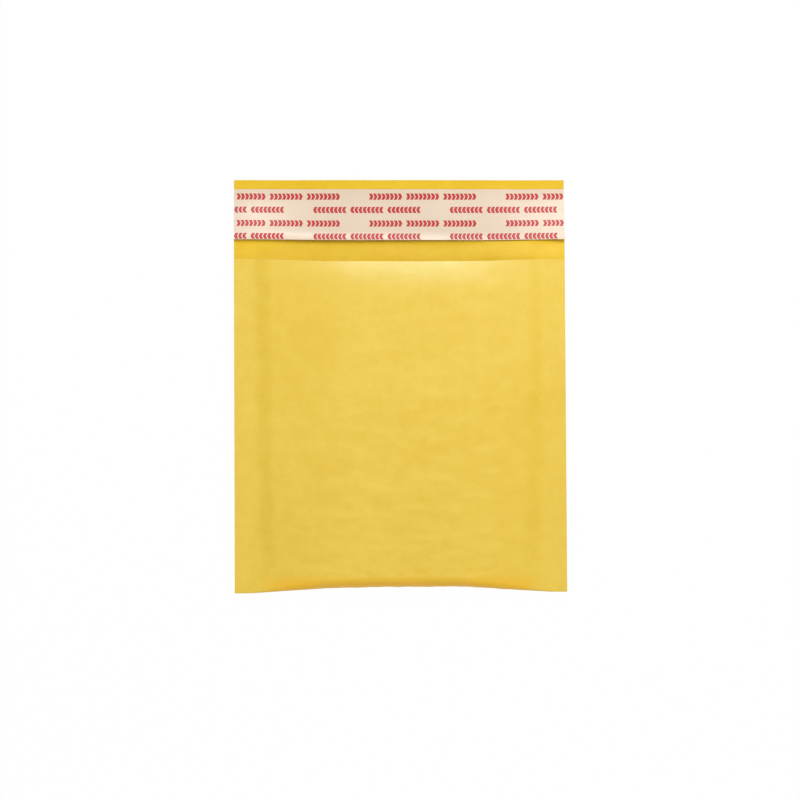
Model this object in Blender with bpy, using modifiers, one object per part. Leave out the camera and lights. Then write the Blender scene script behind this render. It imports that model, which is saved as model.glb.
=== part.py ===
"""A small padded envelope, lying on its back with its closing flap open.

The cover is one sheet of kraft paper: front panel, bottom fold, back panel and flap.
A bag of bubble film lines it, fused flat in the two side seams and open at the mouth.
The flap carries a strip of adhesive under a release liner.

Units are metres. +X runs across the envelope, +Y from the bottom fold to the flap and +Z up
through its thickness. The origin is on the flat back, under the middle of the whole outline.
"""

import math

import bmesh
import bpy

# The kraft cover
WIDTH = 0.160
BODY_LENGTH = 0.1613
FLAP_LENGTH = 0.0385
PAPER = 0.0002
SEALED = 0.0068
SEAM_LIFT = 0.0046

# How far inward from the sealed seams the padding rises to its full height: the front does it in
# two parts that add up, the back lies flatter, and the bottom corners take longest
SHOULDER = 0.013
SHOULDER_SHARE = 0.5
PILLOW = 0.051
BACK_RISE = 0.040
FOLD_LEAD = 0.026

# The bubble lining
POCKET_GAP = 0.0046
FILM = 0.0003
SEAM_FILM = 0.0003
BUBBLE_HEIGHT = 0.0021
BUBBLE_WIDTH = 0.0104
BUBBLE_CROWN = 0.0072
BUBBLE_PITCH = 0.0127
BUBBLE_SIDES = 6
LINING_INSET = 0.0006
MOUTH_MARGIN = 0.0010

# The mouth of the front panel, which turns down over the last cut bubbles
LIP_LENGTH = 0.012
LIP_DROP = 0.0016
CROWN_LENGTH = 0.060
CROWN_DROP = 0.0005
MOUTH_BOW = 0.0016

# The closure on the flap
LINER_WIDTH = 0.0247
LINER_EDGE = 0.0044
LINER_SHEET = 0.00015
ADHESIVE_WIDTH = 0.0190
ADHESIVE_SHEET = 0.0002
ADHESIVE_END = 0.0030

# Spaces between pieces that touch on the real envelope
CLEARANCE = 0.0003
LAYER_GAP = 0.0002

# How finely the curved sheets are divided
PILLOW_STEPS = 6
SHOULDER_STEPS = 4
LEAD_STEPS = 3
FOLD_STEPS = 8
LIP_STEPS = 4
FLAP_STEPS = 4

# Derived from the sizes above
SEAM_LINE = WIDTH / 2 - SEALED
PLATEAU = SEAM_LINE - PILLOW
SHOULDER_TOP = SEAM_LINE - SHOULDER
SEAM_HALF = SEAM_FILM / 2 + CLEARANCE + PAPER / 2
FULL_HALF = POCKET_GAP / 2 + FILM + BUBBLE_HEIGHT + CLEARANCE + PAPER / 2
FULL_MIDDLE = FULL_HALF + PAPER / 2
FRONT_RISE = FULL_MIDDLE + FULL_HALF - SEAM_LIFT - SEAM_HALF
BACK_DROP = SEAM_LIFT - SEAM_HALF - PAPER / 2
LINER_FAR = FLAP_LENGTH - LINER_EDGE
LINER_NEAR = LINER_FAR - LINER_WIDTH
ADHESIVE_NEAR = LINER_NEAR + (LINER_WIDTH - ADHESIVE_WIDTH) / 2
CORNER_LENGTH = BODY_LENGTH - (math.pi / 2 - 1) * SEAM_HALF + PAPER / 2
MOUTH_Y = (CORNER_LENGTH - FLAP_LENGTH) / 2


def clear_scene():
    for obj in list(bpy.data.objects):
        bpy.data.objects.remove(obj, do_unlink=True)


def collection(name):
    made = bpy.data.collections.new(name)
    bpy.context.scene.collection.children.link(made)
    return made


def material(name, color, roughness):
    made = bpy.data.materials.new(name)
    made.use_nodes = True
    shader = made.node_tree.nodes["Principled BSDF"]
    shader.inputs["Base Color"].default_value = (*color, 1.0)
    shader.inputs["Roughness"].default_value = roughness
    shader.inputs["Metallic"].default_value = 0.0
    return made


def stations(*spans):
    """Positions along a line, from spans of (start, end, steps) that follow each other."""
    points = [spans[0][0]]
    for start, end, steps in spans:
        points += [start + (end - start) * step / steps for step in range(1, steps + 1)]
    return points


def both_sides(half):
    """Positions from 0 outwards on the right, with their mirror images on the left."""
    return [-x for x in reversed(half)] + half


def smooth(value):
    """0 to 1 with a gentle start and end."""
    held = min(max(value, 0.0), 1.0)
    return held * held * (3.0 - 2.0 * held)


def mix(a, b, share):
    return a + (b - a) * share


def risen(x, lead):
    """How far the front and the back panel have left the side seams: 0 in them, 1 when full.

    lead is the distance up a panel from where the bottom fold starts to turn.
    """
    inward = SEAM_LINE - abs(x)
    pillow = smooth(inward / PILLOW)
    away = smooth(lead / FOLD_LEAD)
    front = mix(pillow, smooth(inward / SHOULDER), SHOULDER_SHARE)
    return mix(pillow, front, away), mix(pillow, smooth(inward / BACK_RISE), away)


def fullness(x, lead):
    """How far the padding fills the envelope: 0 in the side seams, 1 in the middle."""
    front, back = risen(x, lead)
    return (FRONT_RISE * front + BACK_DROP * back) / (FRONT_RISE + BACK_DROP)


def middle(x, lead):
    """Height of the surface halfway between the two panels."""
    front, back = risen(x, lead)
    return SEAM_LIFT + (FRONT_RISE * front - BACK_DROP * back) / 2


def paper_half(x, lead):
    """From that surface to the middle of either sheet of paper."""
    return mix(SEAM_HALF, FULL_HALF, fullness(x, lead))


def film_half(x, lead):
    """From that surface to the outer face of the film, between its bubbles."""
    return mix(SEAM_FILM / 2, POCKET_GAP / 2 + FILM, fullness(x, lead))


def pocket_half(x, lead):
    """From that surface to the film's inner face, which is the wall of the pocket."""
    return POCKET_GAP / 2 * fullness(x, lead)


def straight(x):
    """Length of a panel at x from the mouth to where the bottom fold starts to turn."""
    return BODY_LENGTH - math.pi / 2 * paper_half(x, 0.0)


def lip_drop(x, depth):
    """How far the front panel's paper turns down at a depth below its mouth edge."""
    held = max(depth, 0.0)
    lip = LIP_DROP * max(1.0 - held / LIP_LENGTH, 0.0) ** 2
    crown = CROWN_DROP * max(1.0 - held / CROWN_LENGTH, 0.0) ** 2
    return (lip + crown) * fullness(x, straight(x) - held)


def folded(x, turn, half):
    """A point of a sheet that is folded round the bottom.

    turn is 0 to 1 down the front, 1 to 2 round the bottom fold and 2 to 3 up the back.
    half(x, lead) is the sheet's distance from the middle surface.
    """
    length = straight(x)
    fold_y = MOUTH_Y - length
    if turn <= 1.0:
        lead = length * (1.0 - turn)
        front_mouth = MOUTH_Y - MOUTH_BOW * fullness(x, length)
        y = front_mouth + (fold_y - front_mouth) * turn
        return (x, y, middle(x, lead) + half(x, lead))
    if turn < 2.0:
        angle = math.pi * (turn - 1.0)
        away = half(x, 0.0)
        return (x, fold_y - away * math.sin(angle), middle(x, 0.0) + away * math.cos(angle))
    lead = length * (turn - 2.0)
    return (x, fold_y + lead, middle(x, lead) - half(x, lead))


def on_flap(x, reach, height):
    """A point above the flap's middle sheet, at a reach from the mouth line.

    The flap leaves the back panel with the panel's own curve and relaxes flat at its free edge.
    """
    raised = middle(x, BODY_LENGTH) - paper_half(x, BODY_LENGTH) - PAPER / 2
    relaxed = smooth(reach / FLAP_LENGTH)
    return (x, MOUTH_Y + reach, PAPER / 2 + raised * (1.0 - relaxed) + height)


def cover_point(x, turn):
    """turn as in folded(), and 3 to 4 from the mouth line to the flap's free edge."""
    if turn > 3.0:
        return on_flap(x, (turn - 3.0) * FLAP_LENGTH, 0.0)
    drop = lip_drop(x, turn * straight(x)) if turn < 1.0 else 0.0
    return folded(x, turn, lambda across, lead: paper_half(across, lead) - drop)


def grid(bm, columns, rows, place):
    """A sheet of quads, one corner at place(column, row), as lists of vertices by column."""
    made = bmesh.ops.create_grid(
        bm, x_segments=len(columns) - 1, y_segments=len(rows) - 1, size=0.5
    )
    corners = [[None] * len(rows) for _ in columns]
    for vert in made["verts"]:
        column = round((vert.co.x + 0.5) * (len(columns) - 1))
        row = round((vert.co.y + 0.5) * (len(rows) - 1))
        corners[column][row] = vert
    for x, line in zip(columns, corners):
        for row, vert in zip(rows, line):
            vert.co = place(x, row)
    return corners


def new_object(name, bm, home, look=None):
    mesh = bpy.data.meshes.new(name)
    bm.to_mesh(mesh)
    bm.free()
    obj = bpy.data.objects.new(name, mesh)
    home.objects.link(obj)
    if look:
        mesh.materials.append(look)
    mesh.shade_smooth()
    mesh.set_sharp_from_angle(angle=math.radians(40))
    return obj


def thicken(obj, thickness):
    """Gives an open sheet its thickness, half to each side of the modelled surface."""
    solidify = obj.modifiers.new("thickness", "SOLIDIFY")
    solidify.thickness = thickness
    solidify.offset = 0.0
    solidify.use_even_offset = True
    solidify.use_rim = True


def cross_columns(reach):
    """Columns across the envelope out to a reach in the side seams, closer on the shoulders."""
    return both_sides(
        stations(
            (PLATEAU, SHOULDER_TOP, PILLOW_STEPS),
            (SHOULDER_TOP, SEAM_LINE, SHOULDER_STEPS),
            (SEAM_LINE, reach, 1),
        )
    )


def make_cover(home, look):
    """Front panel, bottom fold, back panel and flap, folded from one sheet of paper."""
    lip = LIP_LENGTH / straight(0.0)
    lead = FOLD_LEAD / straight(0.0)
    rows = stations(
        (0.0, lip, LIP_STEPS),
        (lip, 1.0 - lead, 2),
        (1.0 - lead, 1.0, LEAD_STEPS),
        (1.0, 2.0, FOLD_STEPS),
        (2.0, 2.0 + lead, LEAD_STEPS),
        (2.0 + lead, 3.0, 1),
        (3.0, 3.0 + LINER_NEAR / FLAP_LENGTH, 2),
        (3.0 + LINER_NEAR / FLAP_LENGTH, 3.0 + LINER_FAR / FLAP_LENGTH, FLAP_STEPS),
        (3.0 + LINER_FAR / FLAP_LENGTH, 4.0, 1),
    )
    bm = bmesh.new()
    grid(bm, cross_columns(WIDTH / 2), rows, cover_point)
    cover = new_object("kraft_cover", bm, home, look)
    thicken(cover, PAPER)


def face_outward(bm):
    """Turns the faces of closed bodies outwards."""
    bmesh.ops.recalc_face_normals(bm, faces=bm.faces)
    if bm.calc_volume(signed=True) < 0.0:
        bmesh.ops.reverse_faces(bm, faces=bm.faces)


def closed_bag(columns, rows, half):
    """A folded sheet shut along both sides and across the mouth, so that it encloses a body."""
    bm = bmesh.new()
    corners = grid(bm, columns, rows, lambda x, turn: folded(x, turn, half))
    last = len(rows) - 1
    for side in (corners[0], corners[-1]):
        for row in range(last // 2):
            around = [side[row], side[row + 1], side[last - row - 1], side[last - row]]
            bm.faces.new(list(dict.fromkeys(around)))
    for left, right in zip(corners, corners[1:]):
        bm.faces.new([left[0], right[0], right[last], left[last]])
    face_outward(bm)
    return bm


def bubble_centres():
    """Places of the bubbles on one panel, as (x, depth below the mouth), in staggered rows."""
    row_pitch = BUBBLE_PITCH * math.sqrt(3) / 2
    first = MOUTH_MARGIN + BUBBLE_PITCH / 2
    last = straight(0.0) - BUBBLE_PITCH / 2
    reach = SHOULDER_TOP - BUBBLE_WIDTH / 2
    rows = int((last - first) / row_pitch) + 1
    columns = int(reach / BUBBLE_PITCH)
    for row in range(rows):
        depth = first + (last - first) * row / (rows - 1)
        stagger = BUBBLE_PITCH / 2 * (row % 2)
        for column in range(-columns, columns + 1):
            x = column * BUBBLE_PITCH + stagger
            if abs(x) <= reach:
                yield x, depth


def add_bubble(bm, x, depth, on_front):
    """A sealed air cell: its foot is inside the film, and its crown presses on the paper."""
    made = bmesh.ops.create_cone(
        bm,
        cap_ends=True,
        segments=BUBBLE_SIDES,
        radius1=BUBBLE_WIDTH / 2,
        radius2=BUBBLE_CROWN / 2,
        depth=1.0,
    )
    for vert in made["verts"]:
        across = x + vert.co.x
        down = depth + vert.co.y
        lead = straight(across) - down
        if vert.co.z < 0.0:
            away = film_half(across, lead) - FILM / 2
        else:
            drop = lip_drop(across, down) if on_front else 0.0
            away = paper_half(across, lead) - drop - PAPER / 2 - CLEARANCE
        turn = down / straight(across)
        vert.co = folded(across, turn if on_front else 3.0 - turn, lambda *_: away)


def add_boolean(obj, other, operation):
    boolean = obj.modifiers.new(other.name, "BOOLEAN")
    boolean.operation = operation
    boolean.solver = "EXACT"
    boolean.object = other


def helper(name, bm, home):
    """A solid that only cuts or joins another, so it is neither rendered nor a piece."""
    obj = new_object(name, bm, home)
    obj.hide_render = True
    obj.display_type = "WIRE"
    return obj


def make_lining(home, cutters, look):
    """One bag of bubble film with its bubbles against the paper and its flat side to the pocket."""
    mouth = MOUTH_MARGIN / straight(0.0)
    lead = FOLD_LEAD / straight(0.0)

    def bag_rows(start):
        return stations(
            (start, 1.0 - lead, 1),
            (1.0 - lead, 1.0, LEAD_STEPS),
            (1.0, 2.0, FOLD_STEPS),
            (2.0, 2.0 + lead, LEAD_STEPS),
            (2.0 + lead, 3.0 - start, 1),
        )

    rows = bag_rows(mouth)
    columns = cross_columns(WIDTH / 2 - LINING_INSET)
    lining = new_object("bubble_lining", closed_bag(columns, rows, film_half), home, look)

    bubbles = bmesh.new()
    for x, depth in bubble_centres():
        add_bubble(bubbles, x, depth, on_front=True)
        add_bubble(bubbles, x, depth, on_front=False)
    face_outward(bubbles)
    add_boolean(lining, helper("bubbles", bubbles, cutters), "UNION")

    halfway = (SHOULDER_TOP + SEAM_LINE) / 2
    pocket_columns = both_sides(
        stations(
            (PLATEAU, SHOULDER_TOP, PILLOW_STEPS),
            (SHOULDER_TOP, halfway, SHOULDER_STEPS // 2),
        )
    )
    pocket = closed_bag(pocket_columns, bag_rows(-mouth), pocket_half)
    add_boolean(lining, helper("pocket", pocket, cutters), "DIFFERENCE")


def make_flap_strip(name, half_width, near, far, height, sheet, home, look):
    """A flat strip that lies along the flap, its underside at a height over the flap's paper."""
    bm = bmesh.new()
    level = PAPER / 2 + height + sheet / 2
    columns = cross_columns(half_width)
    rows = stations((near, far, FLAP_STEPS))
    grid(bm, columns, rows, lambda x, reach: on_flap(x, reach, level))
    thicken(new_object(name, bm, home, look), sheet)


def main():
    clear_scene()
    home = collection("padded_envelope")
    cutters = collection("cutters")
    kraft = material("kraft", (0.86, 0.60, 0.12), 0.70)
    film = material("bubble_film", (0.88, 0.90, 0.91), 0.25)
    glue = material("adhesive", (0.90, 0.86, 0.72), 0.35)
    liner = material("release_liner", (0.90, 0.77, 0.62), 0.40)

    make_cover(home, kraft)
    make_lining(home, cutters, film)
    make_flap_strip(
        "adhesive_strip",
        WIDTH / 2 - ADHESIVE_END,
        ADHESIVE_NEAR,
        ADHESIVE_NEAR + ADHESIVE_WIDTH,
        LAYER_GAP,
        ADHESIVE_SHEET,
        home,
        glue,
    )
    make_flap_strip(
        "release_liner",
        WIDTH / 2,
        LINER_NEAR,
        LINER_FAR,
        LAYER_GAP + ADHESIVE_SHEET + LAYER_GAP,
        LINER_SHEET,
        home,
        liner,
    )


main()
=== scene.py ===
# %% [markdown]
# # A padded envelope: the finish
#
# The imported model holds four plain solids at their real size: the kraft paper cover, the bubble
# lining, the adhesive strip and its release liner. This script dresses them.
#
# The real thing is made from flat webs of paper and film that are folded, sealed and cut. The
# script works in the same order: every sheet is cut flat, and one folding rule, written as a
# Geometry Nodes tree, bends them all. A crease or a wave is then a change to that rule, and the
# layers stay on each other.
#
# The first cell loads the model. Every length below is in metres.

# %% Load the frame
import math

import bmesh
import bpy
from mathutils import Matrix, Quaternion, Vector


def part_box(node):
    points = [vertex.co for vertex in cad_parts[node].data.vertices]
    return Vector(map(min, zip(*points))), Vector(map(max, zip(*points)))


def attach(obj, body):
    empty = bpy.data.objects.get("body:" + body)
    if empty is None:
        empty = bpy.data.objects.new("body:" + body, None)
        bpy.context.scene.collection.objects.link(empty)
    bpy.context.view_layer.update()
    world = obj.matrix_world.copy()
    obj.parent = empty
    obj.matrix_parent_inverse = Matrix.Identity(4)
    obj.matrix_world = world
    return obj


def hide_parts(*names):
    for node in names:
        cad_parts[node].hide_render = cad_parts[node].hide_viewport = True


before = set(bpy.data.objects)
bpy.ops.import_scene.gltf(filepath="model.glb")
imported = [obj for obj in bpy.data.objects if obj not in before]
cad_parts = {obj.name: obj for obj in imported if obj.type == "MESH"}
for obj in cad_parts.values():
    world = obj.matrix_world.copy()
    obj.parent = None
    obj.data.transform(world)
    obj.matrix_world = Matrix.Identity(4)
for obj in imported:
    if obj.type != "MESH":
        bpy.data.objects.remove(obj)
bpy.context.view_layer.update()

print("nodes:", sorted(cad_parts))

# %% [markdown]
# ## Sizes
#
# The solids already know most sizes, so they are read from their boxes. The others are the
# paper-maker's and the seal bar's: how thick the paper is, how wide the side seams are, how far
# the padding takes to reach its full height.

# %% Sizes from the frame, and the few that it can't tell
cover_low, cover_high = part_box("kraft_cover")
_, lining_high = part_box("bubble_lining")
liner_low, liner_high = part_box("release_liner")
glue_low, glue_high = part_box("adhesive_strip")

MM = 0.001
PAPER = 0.2 * MM
WIDTH = cover_high.x - cover_low.x
THICKNESS = cover_high.z
MOUTH_MARGIN = 1.0 * MM
MOUTH_Y = lining_high.y + MOUTH_MARGIN
FLAP_LENGTH = cover_high.y - MOUTH_Y

# The side seams, and how the two panels rise from them.
SEALED = 6.8 * MM
SEAM_LIFT = 4.6 * MM
SEAM_FILM = 0.3 * MM
SHOULDER_START = 2.0 * MM
SHOULDER_DRIFT = 2.6 * MM
SHOULDER_WANDER = 5.0 * MM
SHOULDER = 9.6 * MM
SHOULDER_SHARE = 0.29
PILLOW = 51.0 * MM
BACK_RISE = 40.0 * MM
FOLD_LEAD = 26.0 * MM

# The film, its cells, and the air that keeps two layers apart.
FILM = 0.14 * MM
BUBBLE_HEIGHT = 2.1 * MM
TOUCH = 0.05 * MM

# The mouth, where the front panel sinks towards the back, a little right of the middle.
LIP_MIDDLE = 8.0 * MM
LIP_REACH = 72.0 * MM
LIP_LENGTH = 17.0 * MM
LIP_DROP = 1.32 * MM
CROWN_LENGTH = 60.0 * MM
CROWN_DROP = 0.5 * MM
MOUTH_BOW = 1.5 * MM

# The flap: how far out of square it is, its curled tip, and the step before the liner.
OFF_SQUARE = 0.0052
TIP_LENGTH = 12.0 * MM
TIP_CURL = 1.3 * MM
STIFF_STEP = 0.5 * MM
STEP_WIDTH = 2.4 * MM

SEAM_LINE = WIDTH / 2 - SEALED
SHOULDER_TOP = SEAM_LINE - SHOULDER_START - SHOULDER
SEAM_HALF = SEAM_FILM / 2 + TOUCH + PAPER / 2
FULL_HALF = (THICKNESS - PAPER) / 2
FULL_MIDDLE = THICKNESS / 2
FRONT_RISE = FULL_MIDDLE + FULL_HALF - SEAM_LIFT - SEAM_HALF
BACK_DROP = SEAM_LIFT - SEAM_HALF - PAPER / 2
FILM_HALF = lining_high.z - THICKNESS / 2 - BUBBLE_HEIGHT
BODY_LENGTH = MOUTH_Y - cover_low.y - PAPER / 2 + (math.pi / 2 - 1) * SEAM_HALF
LINER_NEAR = liner_low.y - MOUTH_Y
LINER_FAR = liner_high.y - MOUTH_Y
print(f"body {BODY_LENGTH / MM:.1f} mm, flap {FLAP_LENGTH / MM:.1f} mm")
print(f"mouth at y {MOUTH_Y / MM:.1f} mm, film {FILM_HALF / MM:.2f} mm off the middle")
print(f"liner {LINER_NEAR / MM:.1f} to {LINER_FAR / MM:.1f} mm up the flap")

# %% [markdown]
# ## Sums on sockets
#
# Node trees for shapes and for materials are both full of arithmetic. Written node by node it is
# unreadable, so one small class wraps an output socket and overloads Python's operators: each
# operator adds a Math node and hands back its output. The reflected forms make 1 - mask work.
#
# A second class wraps a tree. Its node method is the only place where nodes are made. It takes a
# node's settings first, then the values or wires of its sockets, or a list of wires for a socket
# that takes several.

# %% A wire that can be added up
class Wire:
    """An output socket that takes part in Python expressions."""

    def __init__(self, graph, socket):
        self.graph = graph
        self.socket = socket

    def __add__(self, other):
        return self.graph.math("ADD", self, other)

    def __radd__(self, other):
        return self.graph.math("ADD", other, self)

    def __sub__(self, other):
        return self.graph.math("SUBTRACT", self, other)

    def __rsub__(self, other):
        return self.graph.math("SUBTRACT", other, self)

    def __mul__(self, other):
        return self.graph.math("MULTIPLY", self, other)

    def __rmul__(self, other):
        return self.graph.math("MULTIPLY", other, self)

    def __truediv__(self, other):
        return self.graph.math("DIVIDE", self, other)

    def __rtruediv__(self, other):
        return self.graph.math("DIVIDE", other, self)

    def __pow__(self, other):
        return self.graph.math("POWER", self, other)

    def __neg__(self):
        return self.graph.math("MULTIPLY", self, -1.0)

    def __abs__(self):
        return self.graph.math("ABSOLUTE", self)

    def __gt__(self, other):
        return self.graph.math("GREATER_THAN", self, other)

    def __lt__(self, other):
        return self.graph.math("LESS_THAN", self, other)


# %% A tree that makes its nodes in one place
class Graph:
    """A node tree, for a material or for Geometry Nodes."""

    def __init__(self, tree):
        self.tree = tree

    def node(self, kind, settings=None, sockets=None):
        made = self.tree.nodes.new(kind)
        for name, value in (settings or {}).items():
            setattr(made, name, value)
        for key, value in (sockets or {}).items():
            wires = value if isinstance(value, list) else [value]
            if isinstance(wires[0], Wire):
                for wire in wires:
                    self.tree.links.new(wire.socket, made.inputs[key])
            else:
                made.inputs[key].default_value = value
        return made

    def wire(self, kind, settings=None, sockets=None, output=0):
        return Wire(self, self.node(kind, settings, sockets).outputs[output])

    def math(self, operation, *values):
        return self.wire("ShaderNodeMath", {"operation": operation}, dict(enumerate(values)))

    def least(self, a, b):
        return self.math("MINIMUM", a, b)

    def most(self, a, b):
        return self.math("MAXIMUM", a, b)

    def unit(self, value):
        """The value, held between 0 and 1."""
        return self.wire("ShaderNodeClamp", None, {0: value, 1: 0.0, 2: 1.0})

    def smooth(self, value):
        """0 to 1 with a gentle start and end."""
        held = self.unit(value)
        return held * held * (3.0 - 2.0 * held)

    def vector(self, x, y, z):
        return self.wire("ShaderNodeCombineXYZ", None, {0: x, 1: y, 2: z})

    def parts(self, vector):
        """The x, y and z of a vector."""
        split = self.node("ShaderNodeSeparateXYZ", None, {0: vector})
        return [Wire(self, socket) for socket in split.outputs]

    def noise(self, place, scale, detail=2.0, roughness=0.5, distortion=0.0):
        """Smooth noise around 0.5, with lumps about 1 / scale metres wide."""
        sockets = {
            "Vector": place,
            "Scale": scale,
            "Detail": detail,
            "Roughness": roughness,
            "Distortion": distortion,
        }
        return self.wire("ShaderNodeTexNoise", None, sockets)


print("helpers ready:", Wire.__name__, Graph.__name__)

# %% [markdown]
# ## A Geometry Nodes tree with named inputs
#
# A tree is built once and used by several sheets. Its sizes are named inputs, so someone can try
# another value in the modifier panel. A modifier takes them by identifier and not by name. The
# evaluated result is copied into a plain mesh, and the modifier goes away with the flat blank.

# %% Meshes and objects
def mesh_of(bm, name):
    """The bmesh as a plain mesh."""
    mesh = bpy.data.meshes.new(name)
    bm.to_mesh(mesh)
    bm.free()
    return mesh


def add_object(name, data):
    """A new object in the scene, at the origin."""
    made = bpy.data.objects.new(name, data)
    bpy.context.scene.collection.objects.link(made)
    return made


# %% Trees that shape a mesh
class ShapeGraph(Graph):
    """A Geometry Nodes tree whose inputs are named, with their starting values."""

    SOCKETS = {float: "NodeSocketFloat", int: "NodeSocketInt", type(None): "NodeSocketMaterial"}

    def __init__(self, name, inputs):
        super().__init__(bpy.data.node_groups.new(name, "GeometryNodeTree"))
        interface = self.tree.interface
        interface.new_socket("Geometry", in_out="INPUT", socket_type="NodeSocketGeometry")
        interface.new_socket("Geometry", in_out="OUTPUT", socket_type="NodeSocketGeometry")
        self.known = {}
        for label, value in inputs.items():
            socket = interface.new_socket(
                label, in_out="INPUT", socket_type=self.SOCKETS[type(value)]
            )
            if value is not None:
                socket.default_value = value
            self.known[label] = socket.identifier
        self.entry = self.node("NodeGroupInput")

    def given(self, label):
        """The tree's own input of that name."""
        return Wire(self, self.entry.outputs[label])

    def positions(self):
        """The x, y and z of each point of the geometry that reads them."""
        return self.parts(self.wire("GeometryNodeInputPosition"))

    def moved(self, geometry, position):
        """The geometry with each point set to a new position."""
        sockets = {"Geometry": geometry, "Position": position}
        return self.wire("GeometryNodeSetPosition", None, sockets)

    def without(self, geometry, selection):
        """The geometry with the selected points deleted."""
        sockets = {"Geometry": geometry, "Selection": selection}
        return self.wire("GeometryNodeDeleteGeometry", {"domain": "POINT"}, sockets)

    def close(self, geometry, paints):
        """Ends the tree: instances made real, then a material for each (selection, input)."""
        shape = self.wire("GeometryNodeRealizeInstances", None, {0: geometry})
        for selection, label in paints:
            sockets = {"Geometry": shape, "Material": self.given(label)}
            if selection is not None:
                sockets["Selection"] = selection
            shape = self.wire("GeometryNodeSetMaterial", None, sockets)
        self.node("NodeGroupOutput", None, {0: shape})

    def shape(self, blank, name, values):
        """A new plain mesh object: the blank as this tree shapes it."""
        modifier = blank.modifiers.new(self.tree.name, "NODES")
        modifier.node_group = self.tree
        for label, value in values.items():
            modifier[self.known[label]] = value
        depsgraph = bpy.context.evaluated_depsgraph_get()
        mesh = bpy.data.meshes.new_from_object(blank.evaluated_get(depsgraph))
        mesh.name = name
        # The blank's empty material slots come along, and aren't needed any more.
        for slot in reversed(range(len(mesh.materials))):
            if mesh.materials[slot] is None:
                mesh.materials.pop(index=slot)
        bpy.data.objects.remove(blank, do_unlink=True)
        return add_object(name, mesh)


print("kinds of input:", ", ".join(ShapeGraph.SOCKETS.values()))

# %% [markdown]
# ## The folding rule
#
# A flat blank lies with the envelope's outer side up. Its x runs across the envelope, and going
# down in y it is the front panel, the bottom fold, the back panel and the flap. Three numbers
# give a point of the folded sheet: how far along the web it is, how far it is across, and how
# far it stands off the middle of the paper.
#
# Along the web the path is a straight, half a circle round the bottom and a straight back. The
# half circle's radius is half the thickness there, so it is large in the middle and almost
# nothing in the seams. That is why the bottom edge of a padded envelope is pulled in between its
# corners: the thick middle uses up more paper to get round.
#
# Across, the front panel rises from each side seam in two parts that add up: a short, soft
# shoulder beside the seal, and a long pillow curve to the middle. The back lies flatter, because
# the table presses on it. Near the bottom fold there is only the pillow curve, as in the corners
# of any pillow. The lining follows the same path a little further in. Its bubbles are as tall as
# the room they have, so they shrink to nothing in the seams and under the lip of the mouth.
#
# The web was folded a little off square, by half a millimetre at each side, so the mouth and
# the flap are not quite parallel to the bottom. The adhesive and its liner stiffen the flap, so
# the paper makes a small step just before them.

# %% The envelope's section, as functions of x
def between(a, b, share):
    """a where the share is 0, and b where it is 1."""
    return a + (b - a) * share


def corner_rise(g, x):
    """The rise from a seam along the bottom fold, which starts sooner than in the panels."""
    share = g.unit((SEAM_LINE - abs(x)) / PILLOW)
    return between(g.smooth(share), 1.0 - (1.0 - share) ** 1.6, 0.6)


def risen(g, x, lead):
    """How far the front and the back panel have left the side seams: 0 in them, 1 when full.

    lead is the distance up a panel from where the bottom fold starts to turn.
    """
    inward = SEAM_LINE - abs(x)
    away = g.smooth(lead / FOLD_LEAD)
    wander = g.noise(g.vector(x * 0.2, lead, 11.0), 60.0, 2.0) - 0.5
    drift = (1.0 - g.unit(lead / BODY_LENGTH)) * SHOULDER_DRIFT
    start = drift + SHOULDER_START + wander * SHOULDER_WANDER
    shoulder = g.smooth((inward - start) / g.given("Shoulder"))
    panel = between(g.smooth(inward / PILLOW), shoulder, SHOULDER_SHARE)
    corner = corner_rise(g, x)
    return between(corner, panel, away), between(corner, g.smooth(inward / BACK_RISE), away)


def hump(g, x, centre, reach):
    """A soft hump across the web: 1 at its centre and 0 beyond its reach."""
    return g.smooth(1.0 - abs(x - centre) / reach)


print(f"shoulders {SHOULDER / MM:.1f} mm wide end {SHOULDER_TOP / MM:.1f} mm off the middle")

# %% Waves, bubbles and creases in the paper
PITCH = 12.7 * MM
CELL_WIDTH = 10.6 * MM
ROW_PITCH = PITCH * math.sqrt(3) / 2
FIRST_ROW = MOUTH_MARGIN + PITCH / 2

# The heights of the paper's waves, how far from the fold it is crushed, and how far it settled.
BANDS = 0.95 * MM
RIPPLES = 0.66 * MM
DENTS = 0.42 * MM
BUBBLE_PRINT = 0.05 * MM
CRINKLES = 0.6 * MM
CRUSHED = 18.0 * MM
SETTLED = 0.12 * MM
SEAM_SWAY = 1.6 * MM
SEAM_PUCKERS = 0.35 * MM


def bubble_print(g, x, run):
    """Where the bubbles push the paper up: 1 over a bubble and 0 between them."""
    wave = 2.0 * math.pi / PITCH
    along = (run - FIRST_ROW) * (2.0 * math.pi / (2.0 * ROW_PITCH))
    straight_rows = g.math("COSINE", x * wave)
    stagger = g.math("COSINE", along)
    return g.smooth(straight_rows * stagger * 0.5 + 0.5)


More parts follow.
